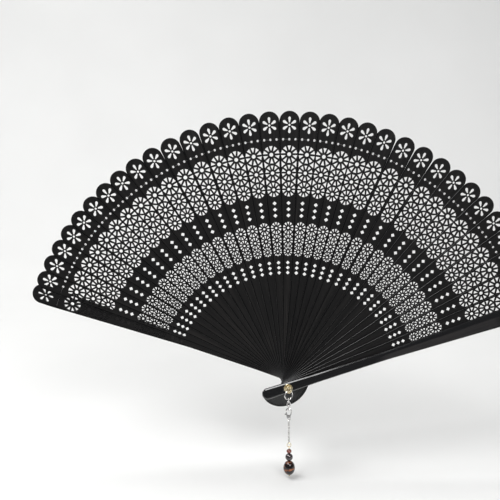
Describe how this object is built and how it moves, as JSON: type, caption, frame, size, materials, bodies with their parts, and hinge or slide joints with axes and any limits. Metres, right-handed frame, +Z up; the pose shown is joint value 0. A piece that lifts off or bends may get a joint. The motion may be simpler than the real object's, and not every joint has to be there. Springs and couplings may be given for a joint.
{
  "type": "folding hand fan",
  "caption": "Open folding fan of pierced black wooden blades on a rivet, between two glossy guard sticks, with a bead charm hanging on a chain.",
  "frame": {"origin": "on the rivet's axis, in the middle of the stack of blades", "axes": "+Z up through the middle of the open fan, +X towards the front guard, +Y from front to back along the rivet"},
  "size_m": [0.4023, 0.0434, 0.2844],
  "materials": {
    "blade_wood": "black-stained wood, satin, fine grain along the blade",
    "guard_wood": "black lacquered wood, glossy",
    "gold_metal": "gold-plated, polished",
    "silver_metal": "silver-plated, polished",
    "bead_red": "polished reddish bead",
    "bead_hematite": "polished dark metallic stone",
    "bead_agate": "polished black and brown stone"
  },
  "bodies": {
    "rivet": {"rivet_pin": "gold_metal", "rear_washer": "gold_metal", "front_washer": "gold_metal", "rivet_eye": "gold_metal"},
    "front_guard": {"front_guard": "guard_wood"},
    "rear_guard": {"rear_guard": "guard_wood"},
    "blade_01": {"blade_01": "blade_wood"},
    "blade_02": {"blade_02": "blade_wood"},
    "blade_03": {"blade_03": "blade_wood"},
    "blade_04": {"blade_04": "blade_wood"},
    "blade_05": {"blade_05": "blade_wood"},
    "blade_06": {"blade_06": "blade_wood"},
    "blade_07": {"blade_07": "blade_wood"},
    "blade_08": {"blade_08": "blade_wood"},
    "blade_09": {"blade_09": "blade_wood"},
    "blade_10": {"blade_10": "blade_wood"},
    "blade_11": {"blade_11": "blade_wood"},
    "blade_12": {"blade_12": "blade_wood"},
    "blade_13": {"blade_13": "blade_wood"},
    "blade_14": {"blade_14": "blade_wood"},
    "blade_15": {"blade_15": "blade_wood"},
    "blade_16": {"blade_16": "blade_wood"},
    "blade_17": {"blade_17": "blade_wood"},
    "blade_18": {"blade_18": "blade_wood"},
    "blade_19": {"blade_19": "blade_wood"},
    "blade_20": {"blade_20": "blade_wood"},
    "blade_21": {"blade_21": "blade_wood"},
    "blade_22": {"blade_22": "blade_wood"},
    "blade_23": {"blade_23": "blade_wood"},
    "blade_24": {"blade_24": "blade_wood"},
    "blade_25": {"blade_25": "blade_wood"},
    "blade_26": {"blade_26": "blade_wood"},
    "blade_27": {"blade_27": "blade_wood"},
    "blade_28": {"blade_28": "blade_wood"},
    "blade_29": {"blade_29": "blade_wood"},
    "blade_30": {"blade_30": "blade_wood"},
    "blade_31": {"blade_31": "blade_wood"},
    "blade_32": {"blade_32": "blade_wood"},
    "blade_33": {"blade_33": "blade_wood"},
    "blade_34": {"blade_34": "blade_wood"},
    "jump_ring": {"jump_ring": "silver_metal"},
    "upper_chain": {"upper_link_1": "silver_metal", "upper_link_2": "silver_metal", "upper_link_3": "silver_metal"},
    "clasp": {"clasp_body": "silver_metal", "clasp_pin": "silver_metal", "clasp_spring": "silver_metal"},
    "clasp_lever": {"clasp_lever": "silver_metal"},
    "lower_chain_1": {"lower_chain_1": "silver_metal"},
    "lower_chain_2": {"lower_chain_2": "silver_metal"},
    "lower_chain_3": {"lower_chain_3": "silver_metal"},
    "pendant": {"pendant_ring": "gold_metal", "eye_pin": "gold_metal", "bead_small": "bead_red", "bead_round": "bead_hematite", "bead_oval": "bead_agate"}
  },
  "joints": [
    {"name": "front_guard_swing", "type": "hinge", "parent": "rivet", "child": "front_guard", "pos_m": [0, 0, 0], "axis": [0, -1, 0], "range_deg": [0, 73.79]},
    {"name": "blade_01_swing", "type": "hinge", "parent": "rivet", "child": "blade_01", "pos_m": [0, 0, 0], "axis": [0, -1, 0], "range_deg": [0, 69.97]},
    {"name": "blade_02_swing", "type": "hinge", "parent": "rivet", "child": "blade_02", "pos_m": [0, 0, 0], "axis": [0, -1, 0], "range_deg": [0, 65.67]},
    {"name": "blade_03_swing", "type": "hinge", "parent": "rivet", "child": "blade_03", "pos_m": [0, 0, 0], "axis": [0, -1, 0], "range_deg": [0, 61.37]},
    {"name": "blade_04_swing", "type": "hinge", "parent": "rivet", "child": "blade_04", "pos_m": [0, 0, 0], "axis": [0, -1, 0], "range_deg": [0, 57.07]},
    {"name": "blade_05_swing", "type": "hinge", "parent": "rivet", "child": "blade_05", "pos_m": [0, 0, 0], "axis": [0, -1, 0], "range_deg": [0, 52.77]},
    {"name": "blade_06_swing", "type": "hinge", "parent": "rivet", "child": "blade_06", "pos_m": [0, 0, 0], "axis": [0, -1, 0], "range_deg": [0, 48.47]},
    {"name": "blade_07_swing", "type": "hinge", "parent": "rivet", "child": "blade_07", "pos_m": [0, 0, 0], "axis": [0, -1, 0], "range_deg": [0, 44.31]},
    {"name": "blade_08_swing", "type": "hinge", "parent": "rivet", "child": "blade_08", "pos_m": [0, 0, 0], "axis": [0, -1, 0], "range_deg": [0, 40.15]},
    {"name": "blade_09_swing", "type": "hinge", "parent": "rivet", "child": "blade_09", "pos_m": [0, 0, 0], "axis": [0, -1, 0], "range_deg": [0, 35.99]},
    {"name": "blade_10_swing", "type": "hinge", "parent": "rivet", "child": "blade_10", "pos_m": [0, 0, 0], "axis": [0, -1, 0], "range_deg": [0, 31.57]},
    {"name": "blade_11_swing", "type": "hinge", "parent": "rivet", "child": "blade_11", "pos_m": [0, 0, 0], "axis": [0, -1, 0], "range_deg": [0, 27.15]},
    {"name": "blade_12_swing", "type": "hinge", "parent": "rivet", "child": "blade_12", "pos_m": [0, 0, 0], "axis": [0, -1, 0], "range_deg": [0, 22.73]},
    {"name": "blade_13_swing", "type": "hinge", "parent": "rivet", "child": "blade_13", "pos_m": [0, 0, 0], "axis": [0, -1, 0], "range_deg": [0, 18.65]},
    {"name": "blade_14_swing", "type": "hinge", "parent": "rivet", "child": "blade_14", "pos_m": [0, 0, 0], "axis": [0, -1, 0], "range_deg": [0, 14.57]},
    {"name": "blade_15_swing", "type": "hinge", "parent": "rivet", "child": "blade_15", "pos_m": [0, 0, 0], "axis": [0, -1, 0], "range_deg": [0, 10.49]},
    {"name": "blade_16_swing", "type": "hinge", "parent": "rivet", "child": "blade_16", "pos_m": [0, 0, 0], "axis": [0, -1, 0], "range_deg": [0, 6.41]},
    {"name": "blade_17_swing", "type": "hinge", "parent": "rivet", "child": "blade_17", "pos_m": [0, 0, 0], "axis": [0, -1, 0], "range_deg": [0, 2.15]},
    {"name": "blade_18_swing", "type": "hinge", "parent": "rivet", "child": "blade_18", "pos_m": [0, 0, 0], "axis": [0, -1, 0], "range_deg": [-2.11, 0]},
    {"name": "blade_19_swing", "type": "hinge", "parent": "rivet", "child": "blade_19", "pos_m": [0, 0, 0], "axis": [0, -1, 0], "range_deg": [-6.37, 0]},
    {"name": "blade_20_swing", "type": "hinge", "parent": "rivet", "child": "blade_20", "pos_m": [0, 0, 0], "axis": [0, -1, 0], "range_deg": [-10.63, 0]},
    {"name": "blade_21_swing", "type": "hinge", "parent": "rivet", "child": "blade_21", "pos_m": [0, 0, 0], "axis": [0, -1, 0], "range_deg": [-14.89, 0]},
    {"name": "blade_22_swing", "type": "hinge", "parent": "rivet", "child": "blade_22", "pos_m": [0, 0, 0], "axis": [0, -1, 0], "range_deg": [-19.29, 0]},
    {"name": "blade_23_swing", "type": "hinge", "parent": "rivet", "child": "blade_23", "pos_m": [0, 0, 0], "axis": [0, -1, 0], "range_deg": [-23.69, 0]},
    {"name": "blade_24_swing", "type": "hinge", "parent": "rivet", "child": "blade_24", "pos_m": [0, 0, 0], "axis": [0, -1, 0], "range_deg": [-28.09, 0]},
    {"name": "blade_25_swing", "type": "hinge", "parent": "rivet", "child": "blade_25", "pos_m": [0, 0, 0], "axis": [0, -1, 0], "range_deg": [-32.36, 0]},
    {"name": "blade_26_swing", "type": "hinge", "parent": "rivet", "child": "blade_26", "pos_m": [0, 0, 0], "axis": [0, -1, 0], "range_deg": [-36.63, 0]},
    {"name": "blade_27_swing", "type": "hinge", "parent": "rivet", "child": "blade_27", "pos_m": [0, 0, 0], "axis": [0, -1, 0], "range_deg": [-40.73, 0]},
    {"name": "blade_28_swing", "type": "hinge", "parent": "rivet", "child": "blade_28", "pos_m": [0, 0, 0], "axis": [0, -1, 0], "range_deg": [-44.83, 0]},
    {"name": "blade_29_swing", "type": "hinge", "parent": "rivet", "child": "blade_29", "pos_m": [0, 0, 0], "axis": [0, -1, 0], "range_deg": [-48.93, 0]},
    {"name": "blade_30_swing", "type": "hinge", "parent": "rivet", "child": "blade_30", "pos_m": [0, 0, 0], "axis": [0, -1, 0], "range_deg": [-52.86, 0]},
    {"name": "blade_31_swing", "type": "hinge", "parent": "rivet", "child": "blade_31", "pos_m": [0, 0, 0], "axis": [0, -1, 0], "range_deg": [-56.78, 0]},
    {"name": "blade_32_swing", "type": "hinge", "parent": "rivet", "child": "blade_32", "pos_m": [0, 0, 0], "axis": [0, -1, 0], "range_deg": [-60.71, 0]},
    {"name": "blade_33_swing", "type": "hinge", "parent": "rivet", "child": "blade_33", "pos_m": [0, 0, 0], "axis": [0, -1, 0], "range_deg": [-64.63, 0]},
    {"name": "blade_34_swing", "type": "hinge", "parent": "rivet", "child": "blade_34", "pos_m": [0, 0, 0], "axis": [0, -1, 0], "range_deg": [-67.94, 0]},
    {"name": "rear_guard_swing", "type": "hinge", "parent": "rivet", "child": "rear_guard", "pos_m": [0, 0, 0], "axis": [0, -1, 0], "range_deg": [-68.09, 0]},
    {"name": "jump_ring_swing", "type": "hinge", "parent": "rivet", "child": "jump_ring", "pos_m": [0, -0.02032, 0], "axis": [0.4067, 0.9135, 0], "range_deg": [-45, 45]},
    {"name": "upper_chain_swing", "type": "hinge", "parent": "jump_ring", "child": "upper_chain", "pos_m": [0, -0.02032, -0.00726], "axis": [0, 1, 0], "range_deg": [-30, 30]},
    {"name": "clasp_swing", "type": "hinge", "parent": "upper_chain", "child": "clasp", "pos_m": [0, -0.02032, -0.01596], "axis": [0, 1, 0], "range_deg": [-35, 35]},
    {"name": "clasp_lever_pivot", "type": "hinge", "parent": "clasp", "child": "clasp_lever", "pos_m": [-0.0009, -0.02032, -0.02171], "axis": [0, 1, 0], "range_deg": [0, 20], "stiffness_Nm_per_rad": 0.002, "springref_deg": -11.46},
    {"name": "lower_chain_1_swing", "type": "hinge", "parent": "clasp", "child": "lower_chain_1", "pos_m": [0, -0.02032, -0.02471], "axis": [0, 1, 0], "range_deg": [-30, 30]},
    {"name": "lower_chain_2_swing", "type": "hinge", "parent": "lower_chain_1", "child": "lower_chain_2", "pos_m": [0, -0.02032, -0.03131], "axis": [0, 1, 0], "range_deg": [-30, 30]},
    {"name": "lower_chain_3_swing", "type": "hinge", "parent": "lower_chain_2", "child": "lower_chain_3", "pos_m": [0, -0.02032, -0.03791], "axis": [0, 1, 0], "range_deg": [-30, 30]},
    {"name": "pendant_swing", "type": "hinge", "parent": "lower_chain_3", "child": "pendant", "pos_m": [0, -0.02032, -0.04451], "axis": [0, 1, 0], "range_deg": [-35, 35]}
  ],
  "couplings": [
    {"joint": "blade_01_swing", "follows": "front_guard_swing", "ratio": 0.94823},
    {"joint": "blade_02_swing", "follows": "front_guard_swing", "ratio": 0.88996},
    {"joint": "blade_03_swing", "follows": "front_guard_swing", "ratio": 0.83169},
    {"joint": "blade_04_swing", "follows": "front_guard_swing", "ratio": 0.77341},
    {"joint": "blade_05_swing", "follows": "front_guard_swing", "ratio": 0.71514},
    {"joint": "blade_06_swing", "follows": "front_guard_swing", "ratio": 0.65686},
    {"joint": "blade_07_swing", "follows": "front_guard_swing", "ratio": 0.60049},
    {"joint": "blade_08_swing", "follows": "front_guard_swing", "ratio": 0.54411},
    {"joint": "blade_09_swing", "follows": "front_guard_swing", "ratio": 0.48773},
    {"joint": "blade_10_swing", "follows": "front_guard_swing", "ratio": 0.42784},
    {"joint": "blade_11_swing", "follows": "front_guard_swing", "ratio": 0.36794},
    {"joint": "blade_12_swing", "follows": "front_guard_swing", "ratio": 0.30804},
    {"joint": "blade_13_swing", "follows": "front_guard_swing", "ratio": 0.25274},
    {"joint": "blade_14_swing", "follows": "front_guard_swing", "ratio": 0.19745},
    {"joint": "blade_15_swing", "follows": "front_guard_swing", "ratio": 0.14216},
    {"joint": "blade_16_swing", "follows": "front_guard_swing", "ratio": 0.086868},
    {"joint": "blade_17_swing", "follows": "front_guard_swing", "ratio": 0.029137},
    {"joint": "blade_18_swing", "follows": "front_guard_swing", "ratio": -0.028595},
    {"joint": "blade_19_swing", "follows": "front_guard_swing", "ratio": -0.086326},
    {"joint": "blade_20_swing", "follows": "front_guard_swing", "ratio": -0.14406},
    {"joint": "blade_21_swing", "follows": "front_guard_swing", "ratio": -0.20179},
    {"joint": "blade_22_swing", "follows": "front_guard_swing", "ratio": -0.26142},
    {"joint": "blade_23_swing", "follows": "front_guard_swing", "ratio": -0.32105},
    {"joint": "blade_24_swing", "follows": "front_guard_swing", "ratio": -0.38067},
    {"joint": "blade_25_swing", "follows": "front_guard_swing", "ratio": -0.43854},
    {"joint": "blade_26_swing", "follows": "front_guard_swing", "ratio": -0.49641},
    {"joint": "blade_27_swing", "follows": "front_guard_swing", "ratio": -0.55197},
    {"joint": "blade_28_swing", "follows": "front_guard_swing", "ratio": -0.60754},
    {"joint": "blade_29_swing", "follows": "front_guard_swing", "ratio": -0.6631},
    {"joint": "blade_30_swing", "follows": "front_guard_swing", "ratio": -0.71629},
    {"joint": "blade_31_swing", "follows": "front_guard_swing", "ratio": -0.76948},
    {"joint": "blade_32_swing", "follows": "front_guard_swing", "ratio": -0.82267},
    {"joint": "blade_33_swing", "follows": "front_guard_swing", "ratio": -0.87586},
    {"joint": "blade_34_swing", "follows": "front_guard_swing", "ratio": -0.92072},
    {"joint": "rear_guard_swing", "follows": "front_guard_swing", "ratio": -0.92275}
  ]
}
